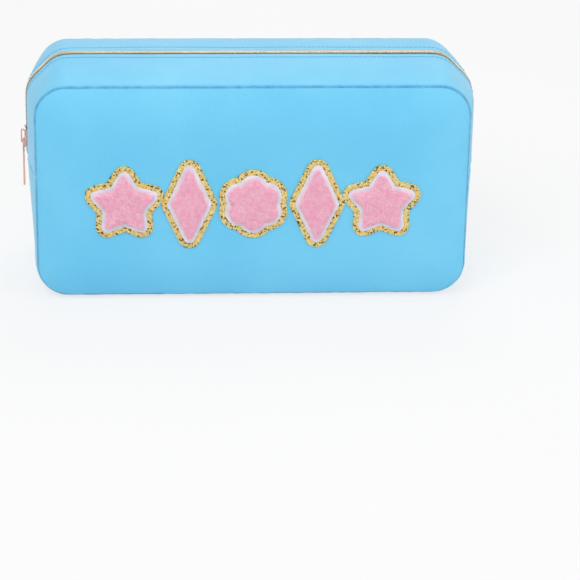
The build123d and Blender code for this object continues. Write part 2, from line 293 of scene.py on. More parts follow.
def rose_plate(graph, place):
    handled = graph.spread(graph.noise(place, 240, 4), 0.4, 0.7)
    fine = graph.noise(place, 3000, 2)
    return {
        "Base Color": graph.mix(handled, paint(226, 184, 168), paint(206, 160, 146)),
        "Roughness": graph.spread(handled, 0, 1, 0.2, 0.34),
        "Normal": bump(graph, fine, 0.01 * MM, 0.3),
    }


slider_finish = finish_of("slider_metal", rose_plate, Metallic=1.0)

# %% [markdown]
# Each patch is a sandwich: a glitter foil on its base, a felt on that, and a chenille pile in
# the middle. Glitter is thousands of tiny mirrors, most gold, some dark, so its colour jumps from
# cell to cell. Felt and chenille scatter light, so they are rough, and their fibres show as bump.


# %% Patch finishes
def glitter(graph, place):
    cells = graph.node("ShaderNodeTexVoronoi", None, {"Vector": place, "Scale": 1100.0})
    pick = graph.node("ShaderNodeSeparateColor", None, {0: cells.of("Color")})
    gold = graph.mix(pick.of("Green"), paint(206, 176, 98), paint(244, 224, 158))
    dark = graph.mix(pick.of("Green"), paint(46, 36, 22), paint(112, 90, 48))
    chosen = graph.mix(pick.math("GREATER_THAN", 0.84), gold, dark)
    return {
        "Base Color": chosen,
        "Roughness": graph.spread(pick.of("Blue"), 0, 1, 0.22, 0.5),
        "Metallic": graph.spread(pick.of("Green"), 0, 1, 0.55, 0.8),
    }


glitter_finish = finish_of("glitter", glitter)


def felt(graph, place):
    fibres = graph.noise(place, 1500, 4, 0.7)
    soft = graph.spread(graph.noise(place, 160, 3), 0.3, 0.7)
    return {
        "Base Color": graph.mix(soft, paint(222, 212, 228), paint(240, 232, 240)),
        "Roughness": graph.spread(fibres, 0.3, 0.7, 0.85, 1.0),
        "Normal": bump(graph, fibres, 0.25 * MM, 0.8),
    }


felt_finish = finish_of("felt", felt, **{"Sheen Weight": 0.4})


def chenille(graph, place):
    tufts = graph.spread(graph.noise(place, 420, 3), 0.3, 0.7)
    fibres = graph.noise(place, 3200, 3, 0.7)
    colour = graph.mix(tufts, paint(252, 160, 196), paint(255, 204, 222))
    return {
        "Base Color": graph.mix(graph.spread(fibres, 0.35, 0.65, 0, 0.5), colour, paint(255, 222, 234)),
        "Roughness": graph.spread(fibres, 0.3, 0.7, 0.8, 1.0),
        "Normal": bump(graph, fibres, 0.15 * MM, 0.8),
    }


chenille_finish = finish_of("chenille", chenille, **{"Sheen Weight": 0.6, "Sheen Roughness": 0.5})
print("finishes", len(bpy.data.materials))

# %% [markdown]
# Every cloth piece is drawn as one open surface of points, made solid by a Solidify modifier
# that is applied at once. Its map holds real lengths, so a weave keeps its size on each piece.
# Edges that turn sharply are marked sharp; the rest is shaded smooth.


# %% Meshes
def new_piece(name, points, faces, material, cloth_map=None, from_seam=None):
    """A mesh object at the origin, its place in its points."""
    mesh = bpy.data.meshes.new(name)
    mesh.from_pydata(points.tolist(), [], faces)
    if from_seam is not None:
        values = mesh.attributes.new("from_seam", "FLOAT", "POINT").data
        values.foreach_set("value", from_seam.astype(np.float32))
    if cloth_map is not None:
        layer = mesh.uv_layers.new(name="cloth")
        corners = np.zeros(len(mesh.loops), int)
        mesh.loops.foreach_get("vertex_index", corners)
        layer.data.foreach_set("uv", cloth_map[corners].astype(np.float32).ravel())
    mesh.materials.append(material)
    piece = bpy.data.objects.new(name, mesh)
    bpy.context.scene.collection.objects.link(piece)
    return piece


def settle(piece, sharp=40):
    """Applies a piece's modifiers, and shades it smooth apart from its sharp edges."""
    evaluated = piece.evaluated_get(bpy.context.evaluated_depsgraph_get())
    mesh = bpy.data.meshes.new_from_object(evaluated)
    piece.modifiers.clear()
    piece.data = mesh
    mesh.shade_smooth()
    mesh.set_sharp_from_angle(angle=math.radians(sharp))
    return piece


def thicken(piece, thickness):
    """Gives an open cloth its thickness, inwards from the face that shows."""
    solid = piece.modifiers.new("thickness", "SOLIDIFY")
    solid.thickness = thickness
    solid.offset = -1
    return settle(piece)


def quads(rows, columns, wrap_rows=False, wrap_columns=False):
    """Faces of a grid of points stored row by row."""
    faces = []
    for row in range(rows if wrap_rows else rows - 1):
        for column in range(columns if wrap_columns else columns - 1):
            next_row = (row + 1) % rows
            next_column = (column + 1) % columns
            faces.append(
                (
                    row * columns + column,
                    next_row * columns + column,
                    next_row * columns + next_column,
                    row * columns + next_column,
                )
            )
    return faces


def face_out(piece, centre=(0, 0, 0.07)):
    """Turns an open cloth's faces away from the middle of the case."""
    mesh = piece.data
    total = sum(
        (face.normal.dot(face.center - Vector(centre)) * face.area for face in mesh.polygons), 0.0
    )
    if total < 0:
        mesh.flip_normals()
    return piece


def even_normals(piece, weld=None):
    """Makes neighbouring faces turn the same way, after welding points closer than weld."""
    work = bmesh.new()
    work.from_mesh(piece.data)
    if weld is not None:
        bmesh.ops.remove_doubles(work, verts=work.verts, dist=weld)
    bmesh.ops.recalc_face_normals(work, faces=work.faces)
    work.to_mesh(piece.data)
    work.free()
    return piece


def waves(places, scale, seed):
    """Smooth random heights between about -1 and 1 at these places."""
    shift = Vector((seed * 7.3, seed * 3.1, seed * 5.7))
    scaled = np.asarray(places) / scale
    scaled = np.pad(scaled, ((0, 0), (0, 3 - scaled.shape[1])))
    return np.array([noise.noise(Vector(place) + shift) for place in scaled.tolist()])


# %% [markdown]
# The gusset follows the panels' seam. Distance round the seam is measured from the top middle
# down the left side, under the case and up the right side. Across the case it domes a little.
# At each seam the cloth is turned in, so its edge rolls down into a groove.


# %% The line of the seam
def seam_loop(distance):
    """Place (x, z) and outward direction (x, z) at a distance round the seam."""
    left = distance <= HALF_LOOP
    side = np.where(left, -1.0, 1.0)
    run = np.where(left, distance, 2 * HALF_LOOP - distance)
    upper = np.clip((run - CORNER_X) / CORNER, 0, math.pi / 2)
    down = np.clip(run - CORNER_X - QUARTER, 0, SIDE)
    lower = np.clip((run - CORNER_X - QUARTER - SIDE) / CORNER, 0, math.pi / 2)
    under = np.clip(run - CORNER_X - 2 * QUARTER - SIDE, 0, CORNER_X)
    x = np.clip(run, 0, CORNER_X) + CORNER * (np.sin(upper) + np.cos(lower) - 1) - under
    z = TOP - CORNER * (1 - np.cos(upper) + np.sin(lower)) - down
    turn = upper + lower
    return np.stack([x * side, z], -1), np.stack([np.sin(turn) * side, np.cos(turn)], -1)


# the pull ends below the corner, because the slider runs over the straight side beside it
CORNER_PULL = 2.8 * MM
CORNER_PULL_REACH = 9 * MM


def roll(edge_distance, depth, width):
    """How far a cloth drops where it rolls over an edge that it nears."""
    nearness = 1 - np.clip(edge_distance / width, 0, 1)
    return depth * (1 - np.sqrt(1 - nearness**2))


def dome(distances, z):
    """Rise of the gusset's middle: it swells on top and at the sides, and is drawn in at a corner."""
    share = np.clip((z - BASE - CORNER) / (ZIP_END - BASE - CORNER), 0, 1)
    run = np.minimum(distances, 2 * HALF_LOOP - distances)
    from_corner = (run - CORNER_X - QUARTER / 2) / CORNER_PULL_REACH
    pull = CORNER_PULL * np.exp(-(from_corner**2))
    return FOOT_DOME + (ZIP_DOME - FOOT_DOME) * share - pull


def gusset_places(distances, across, down=0.0, rise=None):
    """Points of a gusset layer: rows round the seam, columns across the case."""
    place, out = seam_loop(distances)
    y = across[None, :] + 0 * distances[:, None]
    # the foot is pressed flat, so it swells close to its seams; the sides swell evenly
    pressed = np.clip((BASE + CORNER - place[:, 1]) / CORNER, 0, 1)[:, None]
    height = dome(distances, place[:, 1])[:, None] * (1 - np.abs(y / HALF_DEPTH) ** (2 + 8 * pressed))
    height = height - down
    if rise is not None:
        height = height + rise(distances, across, place)
    x = place[:, 0][:, None] + out[:, 0][:, None] * height
    z = place[:, 1][:, None] + out[:, 1][:, None] * height
    rest = 0.5 * (z - down + np.sqrt((z - down) ** 2 + (0.3 * MM) ** 2)) + down
    z = np.where(z < 6 * MM, rest, z)
    return np.stack([x, y, z], -1)


def gusset_waves(place, across, scales, seed):
    """Smooth random heights over a gusset; scales are the waves' sizes in x, z and across."""
    flat = np.stack(
        [
            np.repeat(place[:, 0], len(across)),
            np.repeat(place[:, 1], len(across)),
            np.tile(across, len(place)),
        ],
        -1,
    )
    return waves(flat, np.array(scales), seed).reshape(len(place), len(across))


def steps(start, end, pitch):
    """Even places from start to end, about a pitch apart."""
    return np.linspace(start, end, max(2, round(abs(end - start) / pitch) + 1))


def rolled(start, width, towards, count=5):
    """Places over a rolled edge, closer together where it turns most."""
    angles = np.linspace(0, math.pi / 2, count + 1)[:-1]
    return start + towards * width * (1 - np.cos(angles))


print("seam round the case", 2 * HALF_LOOP, "zip gusset to", CROSS_SEAM)

# %% [markdown]
# The folded edges beside the zip are two layers of cloth, held by a topstitch some 6.5 mm in.
# Between the stitch and the fold the cloth stands a little proud, and each stitch pulls a
# small dimple. Along the seams to the panels the cloth puckers, most right beside the seam.

# %% The zip gusset
GROOVE = 1.8 * MM
GROOVE_WIDTH = 2.4 * MM
SEAM_Y = HALF_DEPTH + 0.7 * MM
SLOT = 3.6 * MM
STITCH_LINE = 6.5 * MM
STITCH_PITCH = 2.8 * MM
LEDGE = 5.0 * MM
STEP = 1.6 * MM
PUCKER = 4.2 * MM


def zip_cloth_rise(side, seed):
    """Relief of the nylon beside the zip. Its side, the front (-1) or the back (1) of the chain, is not
    used.
    """

    def rise(distances, across, place):
        from_fold = np.abs(across) - SLOT
        from_seam = SEAM_Y - np.abs(across)
        run = np.minimum(distances, 2 * HALF_LOOP - distances)
        from_cross = np.abs(run - CROSS_SEAM)
        pucker = gusset_waves(place, across, [PUCKER, PUCKER, 5 * PUCKER], seed)
        ease = gusset_waves(place, across, [46 * MM, 46 * MM, 30 * MM], seed + 2)
        tiny = gusset_waves(place, across, [3.0 * MM, 3.0 * MM, 9 * MM], seed + 4)
        near_seam = np.exp(-from_seam / (5 * MM))[None, :]
        near_fold = np.exp(-((from_fold - STITCH_LINE) ** 2) / (3 * MM) ** 2)[None, :]
        near_cross = np.exp(-from_cross / (5 * MM))[:, None]
        folded = 0.12 * MM / (1 + np.exp((from_fold - STITCH_LINE) / (0.35 * MM)))[None, :]
        dimple = np.exp(-(((from_fold - STITCH_LINE) / (0.6 * MM)) ** 2))[None, :]
        beat = (0.6 + 0.4 * np.cos(2 * math.pi * run / STITCH_PITCH))[:, None]
        height = 0.35 * MM * pucker * near_seam + 0.45 * MM * ease * (1 - near_seam)
        height = height + 0.14 * MM * tiny * near_fold + 0.5 * MM * tiny * near_cross
        height = height + folded - 0.1 * MM * dimple * beat
        height = height - roll(from_seam, GROOVE, GROOVE_WIDTH)[None, :]
        height = height - roll(from_fold, 0.75 * MM, 0.9 * MM)[None, :]
        return height - roll(from_cross, GROOVE, GROOVE_WIDTH)[:, None]

    return rise


def zip_rows(side):
    """Places across the case from a panel's seam to the fold beside the zip."""
    parts = [
        rolled(SEAM_Y, GROOVE_WIDTH, -1),
        [SEAM_Y - GROOVE_WIDTH, HALF_DEPTH - 3.4 * MM],
        [HALF_DEPTH - LEDGE],
        steps(HALF_DEPTH - LEDGE - 1.4 * MM, SLOT + STITCH_LINE + 1.9 * MM, STEP),
        SLOT + STITCH_LINE + np.array([1.2, 0.6, 0, -0.6, -1.2, -2.2, -3.6, -4.8]) * MM,
        rolled(SLOT, 0.9 * MM, 1)[::-1],
    ]
    return side * np.concatenate(parts)


def joined(name, grids, material):
    """One open cloth from several grids of (points, map) that share edges."""
    points, maps, faces, start = [], [], [], 0
    for grid, cloth_map in grids:
        rows, columns = grid.shape[:2]
        faces += [tuple(corner + start for corner in face) for face in quads(rows, columns)]
        points.append(grid.reshape(-1, 3))
        maps.append(cloth_map.reshape(-1, 2))
        start += rows * columns
    whole_map = np.concatenate(maps)
    from_seam = SEAM_Y - np.abs(whole_map[:, 1])
    piece = new_piece(name, np.concatenate(points), faces, material, whole_map, from_seam)
    return face_out(even_normals(piece, weld=0.01 * MM))


def half_loop(half, distances):
    """Distances on the left half turned into the same places of the half asked for."""
    return distances if half < 0 else 2 * HALF_LOOP - distances


def layer_grid(half, distances, across, down=0.0, rise=None):
    """Points and map of a layer on one half of the case."""
    places = half_loop(half, distances)
    points = gusset_places(places, across, down, rise)
    # past the top middle the loop's distance starts again, which the map doesn't need
    lengths = half * distances
    cloth_map = np.stack(np.meshgrid(lengths, across, indexing="ij"), -1)
    return points, cloth_map


def mouth_blend(piece):
    """Bakes a piece's place into its points."""
    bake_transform(piece)
    return piece


SIDE_NAME = {-1: "front", 1: "back"}
HALF_NAME = {-1: "left", 1: "right"}
TOP_RUN = steps(0, CORNER_X, STEP)
DOWN_RUN = np.concatenate(
    [
        steps(CORNER_X, CROSS_SEAM - GROOVE_WIDTH, STEP),
        rolled(CROSS_SEAM, GROOVE_WIDTH, -1)[::-1],
    ]
)
zip_cloths = {}
for side in (-1, 1):
    rise = zip_cloth_rise(side, 11 + side)
    rows = zip_rows(side)
    mouth_rows = rows[np.abs(rows) < HALF_DEPTH - LEDGE + 0.01 * MM]
    ledge_rows = rows[np.abs(rows) > HALF_DEPTH - LEDGE - 0.01 * MM]
    zip_nodes = [f"{SIDE_NAME[side]}_zip_gusset", f"{SIDE_NAME[side]}_mouth_strip"]
    for half in (-1, 1):
        name = f"{SIDE_NAME[side]}_{HALF_NAME[half]}_zip_cloth"
        grids = [
            layer_grid(half, TOP_RUN, mouth_rows, 0, rise),
            layer_grid(half, DOWN_RUN, rows, 0, rise),
        ]
        piece = thicken(joined(name, grids, nylon_finish), NYLON)
        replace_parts(mouth_blend(piece), *zip_nodes)
        zip_cloths[side, half] = piece
    grids = [layer_grid(half, TOP_RUN, ledge_rows, 0, rise) for half in (-1, 1)]
    piece = thicken(joined(f"{SIDE_NAME[side]}_ledge_cloth", grids, nylon_finish), NYLON)
    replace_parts(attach(piece, "case"), zip_nodes[0])
print("zip cloth", {name: len(piece.data.polygons) for name, piece in zip_cloths.items()})

# %% [markdown]
# Under the case and low on its sides the gusset is one plain strip. It meets the zip gusset in
# a turned seam on each side, and the weight of the case presses its foot flat.

# %% The bottom gusset


def foot_rise(distances, across, place):
    """Relief of the plain strip: puckers beside its seams and a slow unevenness."""
    from_seam = SEAM_Y - np.abs(across)
    run = np.minimum(distances, 2 * HALF_LOOP - distances)
    pucker = gusset_waves(place, across, [PUCKER, PUCKER, 5 * PUCKER], 31)
    ease = gusset_waves(place, across, [40 * MM, 40 * MM, 34 * MM], 33)
    tiny = gusset_waves(place, across, [9 * MM, 9 * MM, 3 * MM], 35)
    near_seam = np.exp(-from_seam / (5 * MM))[None, :]
    near_cross = np.exp(-(run - CROSS_SEAM) / (5 * MM))[:, None]
    height = 0.35 * MM * pucker * near_seam + 0.4 * MM * ease * (1 - near_seam)
    height = height + 0.6 * MM * tiny * near_cross
    height = height - roll(from_seam, GROOVE, GROOVE_WIDTH)[None, :]
    return height - roll(run - CROSS_SEAM, GROOVE, GROOVE_WIDTH)[:, None]


half_rows = np.concatenate(
    [
        rolled(SEAM_Y, GROOVE_WIDTH, -1),
        [SEAM_Y - GROOVE_WIDTH],
        steps(HALF_DEPTH - 3.5 * MM, 1 * MM, 2 * MM),
    ]
)
foot_rows = np.concatenate([half_rows, -half_rows[::-1]])
foot_start = CROSS_SEAM + 0.1 * MM
foot_run = np.concatenate(
    [
        rolled(foot_start, GROOVE_WIDTH, 1),
        steps(foot_start + GROOVE_WIDTH, 2 * HALF_LOOP - foot_start - GROOVE_WIDTH, STEP),
        rolled(2 * HALF_LOOP - foot_start, GROOVE_WIDTH, -1)[::-1],
    ]
)
foot_map = np.stack(np.meshgrid(foot_run, foot_rows, indexing="ij"), -1)
foot_grid = gusset_places(foot_run, foot_rows, 0, foot_rise)
bottom = thicken(joined("bottom_cloth", [(foot_grid, foot_map)], nylon_finish), NYLON)
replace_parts(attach(bottom, "case"), "bottom_gusset")
print("bottom cloth", len(bottom.data.polygons))

# %% [markdown]
# A panel is a rounded rectangle. A square grid fills its middle, bent at the corners so that its
# border is a rounded rectangle too, and rings run out from that border to the seam. The rings
# let the edge roll over and pucker, and the middle stays even.

# %% The panels
BAND = 10 * MM
CROWN_REACH = 31 * MM
BEAD = 1.1 * MM
BEAD_INSET = 2.3 * MM
BEAD_HEIGHT = 1.6 * MM


def crown(inset):
    """Height of a panel above its seam plane, this far in from the seam."""
    share = np.clip(inset / CROWN_REACH, 0, 1) ** 0.8
    return SHELL + (CROWN - SHELL) * np.sin(math.pi / 2 * share)


def grid_in_rounded(half_width, half_height, radius, pitch):
    """A grid that fills a rounded rectangle, its border loop, and the border's directions."""
    columns = round(2 * half_width / pitch) + 1
    rows = round(2 * half_height / pitch) + 1
    x, z = np.meshgrid(
        np.linspace(-half_width, half_width, columns), np.linspace(-half_height, half_height, rows)
    )
    along = np.clip((np.abs(x) - half_width + radius) / radius, 0, 1)
    up = np.clip((np.abs(z) - half_height + radius) / radius, 0, 1)
    shrink_x = radius * along * (1 - np.sqrt(1 - up**2 / 2))
    shrink_z = radius * up * (1 - np.sqrt(1 - along**2 / 2))
    places = np.stack([x - np.sign(x) * shrink_x, z - np.sign(z) * shrink_z], -1)
    index = np.arange(rows * columns).reshape(rows, columns)
    loop = np.concatenate([index[0, :-1], index[:-1, -1], index[-1, :0:-1], index[:0:-1, 0]])
    border = places.reshape(-1, 2)[loop]
    core = np.array([half_width - radius, half_height - radius])
    out = np.sign(border) * np.maximum(np.abs(border) - core, 0)
    out /= np.linalg.norm(out, axis=1)[:, None]
    return places.reshape(-1, 2), rows, columns, loop, out


def seam_inset(places, half_width, half_height, radius):
    """How far in from a rounded rectangle's edge these places are."""
    beyond = np.abs(places) - np.array([half_width - radius, half_height - radius])
    outside = np.linalg.norm(np.maximum(beyond, 0), axis=1)
    return radius - outside - np.minimum(beyond.max(axis=1), 0)


def panel_cloth(name, side, material, trim, edge, profile, pitch, seed, relief):
    """A crowned cloth: trim in from the seam, its edge this far out of the seam plane."""
    half_width = HALF_LENGTH - trim
    half_height = HALF_HEIGHT - trim
    radius = CORNER - trim
    inner = (half_width - BAND, half_height - BAND, radius - BAND)
    places, rows, columns, loop, out = grid_in_rounded(*inner, pitch)
    rings = [places[loop] + out * (BAND - inset) for inset, _ in profile]
    flat = np.concatenate([places, *rings])
    inset = seam_inset(places, half_width, half_height, radius)
    heights = [crown(inset)] + [np.full(len(loop), height) for _, height in profile]
    seams = np.concatenate([places] + [places[loop] + out * BAND] * len(profile))
    insets = np.concatenate([inset] + [np.full(len(loop), ring) for ring, _ in profile])
    height = np.concatenate(heights) + edge + relief(flat, seams, insets, seed)
    points = np.stack([flat[:, 0], side * (HALF_DEPTH + height), flat[:, 1] + MIDDLE_Z], -1)
    faces = quads(rows, columns)
    previous = loop
    for ring in range(len(profile)):
        current = len(places) + ring * len(loop) + np.arange(len(loop))
        for corner in range(len(loop)):
            after = (corner + 1) % len(loop)
            faces.append((previous[corner], previous[after], current[after], current[corner]))
        previous = current
    faces = [tuple(int(corner) for corner in face) for face in faces]
    return face_out(new_piece(name, points, faces, material, flat, insets))


def panel_relief(flat, seams, insets, seed):
    """Puckers beside the seam, a slow unevenness, and the pull of the cross seams."""
    depth = np.maximum(insets, 0)
    where = np.concatenate([seams / PUCKER, depth[:, None] / (5 * PUCKER)], -1)
    long_where = np.concatenate([seams / (2.6 * PUCKER), depth[:, None] / (9 * PUCKER)], -1)
    puckers = 0.6 * waves(where, 1, seed) + 0.7 * waves(long_where, 1, seed + 1)
    near_seam = np.exp(-depth / (4.5 * MM)) * np.clip(1 - depth / BAND, 0, 1)
    broad = waves(flat, 52 * MM, seed + 2) - 0.3
    ease = np.clip((depth - 4 * MM) / (20 * MM), 0, 1)
    from_cross = np.abs(flat[:, 1] + MIDDLE_Z - ZIP_END)
    pull = np.exp(-((from_cross / (5 * MM)) ** 2)) * np.exp(-depth / (5 * MM))
    pull = pull * (np.abs(flat[:, 0]) > HALF_LENGTH - 3 * BAND)
    return MM * (puckers * near_seam + 0.4 * broad * ease - 0.9 * pull)


def bead_profile():
    """(inset, height) from inside the groove, over the bead and on to the grid's border."""
    turns = np.radians([-85, -60, -35, -10, 15, 40])
    over = [
        (BEAD_INSET - BEAD * math.cos(turn), BEAD_HEIGHT + BEAD * math.sin(turn)) for turn in turns
    ]
    face = [(inset * MM, float(crown(inset * MM))) for inset in (2.3, 3.0, 3.8, 4.8, 6.0, 7.3, 8.6)]
    return [*reversed(face), *reversed(over)]


for side in (-1, 1):
    name = f"{SIDE_NAME[side]}_panel_cloth"
    piece = panel_cloth(
        name, side, nylon_finish, 0, 0, bead_profile(), STEP, 51 + side, panel_relief
    )
    thicken(piece, NYLON)
    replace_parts(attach(piece, "case"), f"{SIDE_NAME[side]}_panel")
    print(name, len(piece.data.polygons))

# %% [markdown]
# Inside hangs a thin lining that follows the shell a little way in. It shows when the mouth is
# open, so it has the same layout as the shell, with its own creases. The seam allowances
# inside are bound with a ribbed tape.

# %% The lining and its bindings
LINING_DOWN = 2.2 * MM
LINING = 0.45 * MM
LINING_EDGE = 6.5 * MM
lining_seam = HALF_DEPTH - 0.9 * MM


def lining_rise(seed):
    """Small soft creases of the thin cloth."""

    def rise(distances, across, place):
        creases = gusset_waves(place, across, [22 * MM, 22 * MM, 12 * MM], seed)
        return -0.35 * MM * np.abs(creases)

    return rise


def lining_relief(flat, seams, insets, seed):
    """The same on a panel's lining, which can only hang inwards."""
    return -0.5 * MM * np.abs(waves(flat, 24 * MM, seed))


lining_profile = [(inset * MM, float(crown(inset * MM))) for inset in (8, 6, 4, 2.5, 1.2, 0)]
for side in (-1, 1):
    name = f"{SIDE_NAME[side]}_panel_lining"
    piece = panel_cloth(
        name, side, lining_finish, 1.6 * MM, -SHELL - 0.1 * MM, lining_profile, 3.2 * MM, 61 + side,
        lining_relief,
    )
    thicken(piece, LINING)
    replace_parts(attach(piece, "case"), f"{SIDE_NAME[side]}_lining")

    rise = lining_rise(71 + side)
    mouth_rows = side * steps(HALF_DEPTH - LEDGE, LINING_EDGE, 2.6 * MM)
    rows = np.concatenate([[side * lining_seam], mouth_rows])
    ledge_rows = rows[:2]
    nodes = [f"{SIDE_NAME[side]}_zip_lining", f"{SIDE_NAME[side]}_mouth_lining"]
    for half in (-1, 1):
        top = steps(0, CORNER_X, 2.6 * MM)
        lower = steps(CORNER_X, CROSS_SEAM, 2.6 * MM)
        grids = [
            layer_grid(half, top, mouth_rows, LINING_DOWN, rise),
            layer_grid(half, lower, rows, LINING_DOWN, rise),
        ]
        name = f"{SIDE_NAME[side]}_{HALF_NAME[half]}_zip_lining"
        piece = thicken(joined(name + "_cloth", grids, lining_finish), LINING)
        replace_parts(mouth_blend(piece), *nodes)
    grids = [layer_grid(half, top, ledge_rows, LINING_DOWN, rise) for half in (-1, 1)]
    piece = thicken(joined(f"{SIDE_NAME[side]}_ledge_lining", grids, lining_finish), LINING)
    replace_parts(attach(piece, "case"), nodes[0])

lining_rows = steps(-lining_seam, lining_seam, 3 * MM)
lining_run = steps(CROSS_SEAM, 2 * HALF_LOOP - CROSS_SEAM, 3 * MM)
lining_map = np.stack(np.meshgrid(lining_run, lining_rows, indexing="ij"), -1)
lining_grid = gusset_places(lining_run, lining_rows, LINING_DOWN, lining_rise(75))
piece = thicken(joined("bottom_lining_cloth", [(lining_grid, lining_map)], lining_finish), LINING)
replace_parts(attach(piece, "case"), "bottom_lining")


def binding_ring(name, node):
    """A bound seam allowance: a soft flat ring, its section rounded, its edge a little wavy."""
    low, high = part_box(node)
    inset = HALF_LENGTH - high.x
    width = 6.0 * MM
    y_middle = (low.y + high.y) / 2
    half_thick = (high.y - low.y) / 2
    turns = np.linspace(0, 2 * math.pi, 12, endpoint=False)
    flat_in = width / 2 * np.sign(np.cos(turns)) * np.abs(np.cos(turns)) ** 0.5
    thick = half_thick * np.sign(np.sin(turns)) * np.abs(np.sin(turns)) ** 0.7
    distances = np.linspace(0, 2 * HALF_LOOP, 360, endpoint=False)
    place, out = seam_loop(distances)
    wave = 0.5 * MM * waves(np.c_[place, 0 * distances], 16 * MM, 81)
    depth = inset + width / 2 - flat_in[None, :] + wave[:, None] * (flat_in < 0)[None, :]
    x = place[:, 0][:, None] - out[:, 0][:, None] * depth
    z = place[:, 1][:, None] - out[:, 1][:, None] * depth
    y = y_middle + thick[None, :] + 0 * x
    points = np.stack([x, y, z], -1).reshape(-1, 3)
    cloth_map = np.stack(np.meshgrid(distances, flat_in, indexing="ij"), -1).reshape(-1, 2)
    faces = quads(len(distances), len(turns), True, True)
    piece = settle(even_normals(new_piece(name, points, faces, binding_finish, cloth_map)))
    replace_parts(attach(piece, "case"), node)


for side in (-1, 1):
    binding_ring(f"{SIDE_NAME[side]}_binding_ring", f"{SIDE_NAME[side]}_seam_binding")

# %% [markdown]
# The zip's tape is woven. Only a sliver of it shows between the coil and the folds of the nylon,
# but it is what the eye reads as the dark line beside the metal.

# %% Zip tape
TAPE_DOWN = 1.5 * MM
TAPE = 0.5 * MM
for side in (-1, 1):
    rows = side * np.array([13.9, 10, 6.4, 4.4, 3.2, 2.2, 1.4]) * MM
    for half in (-1, 1):
        run = np.concatenate([TOP_RUN, steps(CORNER_X, CROSS_SEAM, STEP)[1:]])
        grid = layer_grid(half, run, rows, TAPE_DOWN)
        name = f"{SIDE_NAME[side]}_{HALF_NAME[half]}_zip_tape"
        piece = thicken(joined(name, [grid], tape_finish), TAPE)
        nodes = (f"{SIDE_NAME[side]}_{HALF_NAME[half]}_tape", f"{SIDE_NAME[side]}_mouth_tape")
        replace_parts(mouth_blend(piece), *nodes)
print("tape rows", len(rows))

# %% [markdown]
# What repeats along a line, such as the loops of a coil or the stitches of a seam, is made by one
# node tree: it spaces points along a line, stands a shape on each, turned to follow the line,
# and realizes them. Its sizes and its finish are inputs, so the tree is built only once.


# %% Repeats along a line
def new_tree(name, sockets):
    """A geometry node tree with these inputs, its graph, and the node that gives the inputs."""
    tree = bpy.data.node_groups.new(name, "GeometryNodeTree")
    for socket, kind in sockets.items():
        tree.interface.new_socket(socket, in_out="INPUT", socket_type="NodeSocket" + kind)
    tree.interface.new_socket("Geometry", in_out="OUTPUT", socket_type="NodeSocketGeometry")
    graph = Graph(tree)
    return tree, graph, graph.node("NodeGroupInput")


def finish_tree(graph, given, instances):
    """Realizes the instances, gives them the finish, and ends the tree."""
    real = graph.node("GeometryNodeRealizeInstances", None, {"Geometry": instances})
    sockets = {"Geometry": real, "Material": given.of("Finish")}
    done = graph.node("GeometryNodeSetMaterial", None, sockets)
    graph.node("NodeGroupOutput", None, {"Geometry": done})


def line_tree():
    sockets = {"Geometry": "Geometry", "Shape": "Object", "Count": "Int", "Across": "Vector"}
    tree, graph, given = new_tree("repeat_along", {**sockets, "Finish": "Material"})
    curve = graph.node("GeometryNodeMeshToCurve", None, {"Mesh": given.of("Geometry")})
    spaced = graph.node(
        "GeometryNodeResampleCurve", {"mode": "COUNT"}, {"Curve": curve, "Count": given.of("Count")}
    )
    tangent = graph.node("GeometryNodeInputTangent")
    turn = graph.node(
        "FunctionNodeAxesToRotation",
        {"primary_axis": "X", "secondary_axis": "Y"},
        {"Primary Axis": tangent, "Secondary Axis": given.of("Across")},
    )
    shape = graph.node("GeometryNodeObjectInfo", None, {"Object": given.of("Shape")}).of("Geometry")
    instances = graph.node(
        "GeometryNodeInstanceOnPoints", None, {"Points": spaced, "Instance": shape, "Rotation": turn}
    )
    finish_tree(graph, given, instances)
    return tree


def grow(name, base, tree, values):
    """Runs a tree on a base mesh and keeps the result as a plain piece."""
    modifier = base.modifiers.new("grow", "NODES")
    modifier.node_group = tree
    for item in tree.interface.items_tree:
        if item.in_out == "INPUT" and item.name in values:
            modifier[item.identifier] = values[item.name]
    base.name = name
    settle(base)
    base.data.name = name
    return base


def line_piece(name, points):
    """A bare line of points, which a tree turns into a curve."""
    mesh = bpy.data.meshes.new(name)
    mesh.from_pydata(points.tolist(), [(i, i + 1) for i in range(len(points) - 1)], [])
    piece = bpy.data.objects.new(name, mesh)
    bpy.context.scene.collection.objects.link(piece)
    return piece


def rod(name, path, half_width, half_height, sides=6):
    """A closed bent rod in the plane across a line: path of (x, y, z), its section an ellipse."""
    path = np.array(path)
    ahead = np.gradient(path, axis=0)
    ahead /= np.linalg.norm(ahead, axis=1)[:, None]
    wide = np.array([1.0, 0, 0]) if abs(ahead[:, 0]).max() < 0.5 else np.array([0, 1.0, 0])
    turns = np.linspace(0, 2 * math.pi, sides, endpoint=False)
    points = []
    for place, direction in zip(path, ahead):
        high = np.cross(direction, wide)
        for turn in turns:
            aside = half_width * math.cos(turn) * wide
            points.append(place + aside + half_height * math.sin(turn) * high)
    faces = quads(len(path), sides, False, True)
    count = len(path) * sides
    faces += [tuple(range(sides)), tuple(range(count - 1, count - sides - 1, -1))]
    return even_normals(new_piece(name, np.array(points), faces, coil_finish))


along = line_tree()

# %% [markdown]
# Each coil is a bent filament whose loops reach just past the middle of the chain, those of the
# front coil between those of the back. The tape's coil starts some 1.5 mm under the cloth's crown
# and stands a little proud of it. Beside the slider's wedge the coils part, as in the solids.

